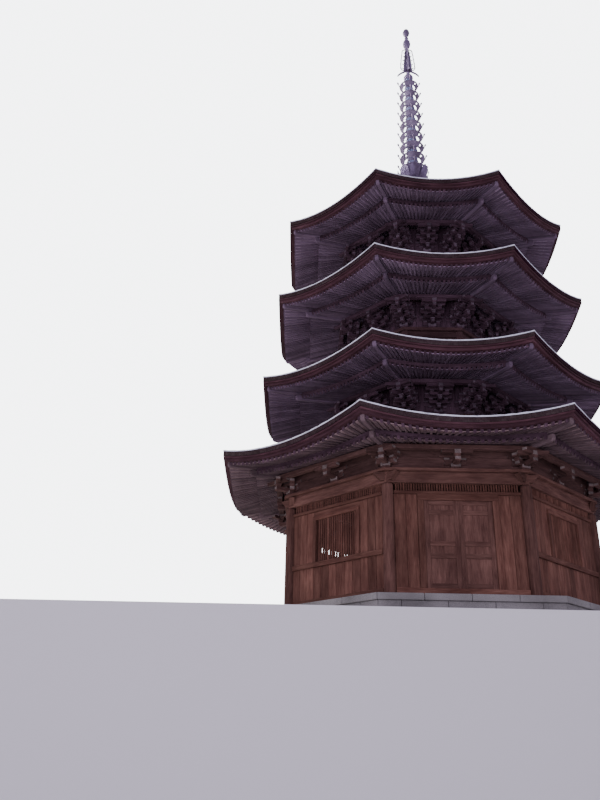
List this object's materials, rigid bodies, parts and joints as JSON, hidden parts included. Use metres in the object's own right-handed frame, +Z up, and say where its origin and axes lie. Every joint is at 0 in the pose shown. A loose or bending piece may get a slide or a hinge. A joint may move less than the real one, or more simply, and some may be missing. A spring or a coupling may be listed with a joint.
{
  "type": "octagonal timber pagoda",
  "caption": "Octagonal timber pagoda with a skirt roof round its ground floor, shingled roofs with upswept corners, and a ringed bronze finial.",
  "frame": {"origin": "on the ground under the plinth, on the pagoda's vertical axis", "axes": "+Z up; the side with the doors faces -Y; +X to the right seen from the front"},
  "size_m": [9.38, 9.38, 18.75],
  "materials": {
    "stone": "rough dressed stone",
    "timber": "aged, weathered dark red-brown",
    "boards": "aged reddish boards",
    "dark_timber": "aged timber, dark under the eaves",
    "shingles": "weathered thin wood shingles",
    "bronze": "dark patinated bronze"
  },
  "bodies": {
    "root": {"stone_plinth": "stone", "skirt_post_1": "timber", "skirt_post_2": "timber", "skirt_post_3": "timber", "skirt_post_4": "timber", "skirt_post_5": "timber", "skirt_post_6": "timber", "skirt_post_7": "timber", "skirt_post_8": "timber", "door_leaf_left": "timber", "door_leaf_right": "timber", "skirt_head_ring": "timber", "core_columns": "timber", "skirt_eaves": "timber", "storey_1_eaves": "timber", "storey_2_eaves": "timber", "storey_3_eaves": "timber", "wall_front": "boards", "wall_front_right": "boards", "wall_right": "boards", "wall_back_right": "boards", "wall_back": "boards", "wall_back_left": "boards", "wall_left": "boards", "wall_front_left": "boards", "storey_1_wall": "boards", "storey_2_wall": "boards", "storey_3_wall": "boards", "skirt_brackets": "dark_timber", "storey_1_brackets": "dark_timber", "storey_2_brackets": "dark_timber", "storey_3_brackets": "dark_timber", "skirt_roof": "shingles", "storey_1_roof": "shingles", "storey_2_roof": "shingles", "storey_3_roof": "shingles", "finial_box": "bronze", "finial_bowl": "bronze", "finial_lotus": "bronze", "finial_rings": "bronze", "finial_canopy": "bronze", "finial_flame": "bronze", "finial_jewels": "bronze"}
  },
  "joints": []
}
